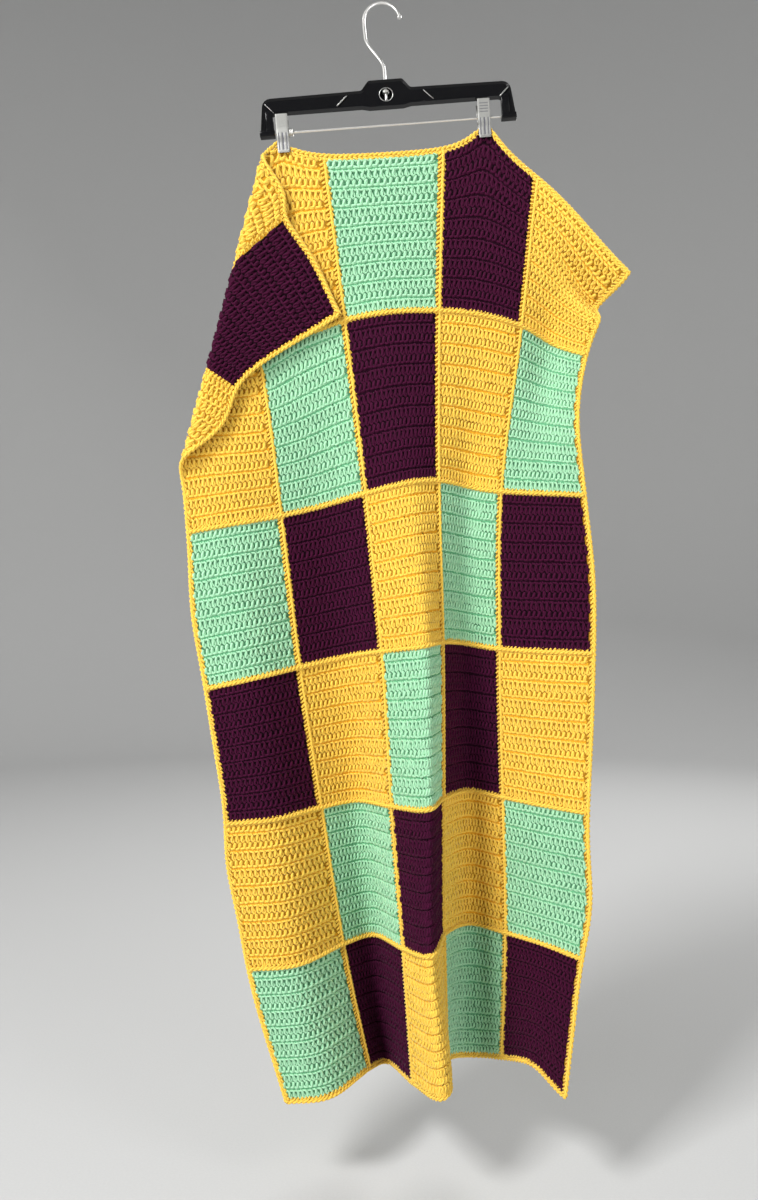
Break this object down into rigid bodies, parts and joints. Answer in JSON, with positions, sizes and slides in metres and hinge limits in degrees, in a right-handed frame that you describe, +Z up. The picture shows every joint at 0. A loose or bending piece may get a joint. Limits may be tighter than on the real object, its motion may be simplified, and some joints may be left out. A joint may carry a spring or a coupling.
{
  "type": "crochet blanket on a clip hanger",
  "caption": "Crocheted patchwork blanket hung by its top edge from a clip hanger, one corner turned over, falling in soft folds.",
  "frame": {"origin": "inside the top of the hook's crook, where a peg carries the hanger", "axes": "+Z up, +X to the right and -Y towards whoever looks at the blanket's front"},
  "size_m": [0.6075, 0.1688, 1.5001],
  "materials": {
    "yarn": "matt acrylic yarn",
    "plastic": "gloss black moulding",
    "steel": "plated, satin"
  },
  "bodies": {
    "hook": {"hook": "steel"},
    "hanger": {"hanger_beam": "plastic", "rod": "steel", "clip_left_front": "steel", "clip_left_back": "steel", "clip_left_spring": "steel", "clip_right_front": "steel", "clip_right_back": "steel", "clip_right_spring": "steel", "blanket": "yarn"}
  },
  "joints": [
    {"name": "swivel", "type": "hinge", "parent": "hook", "child": "hanger", "pos_m": [0, 0, 0], "axis": [-0.0767, 0, 0.9971], "continuous": true}
  ]
}
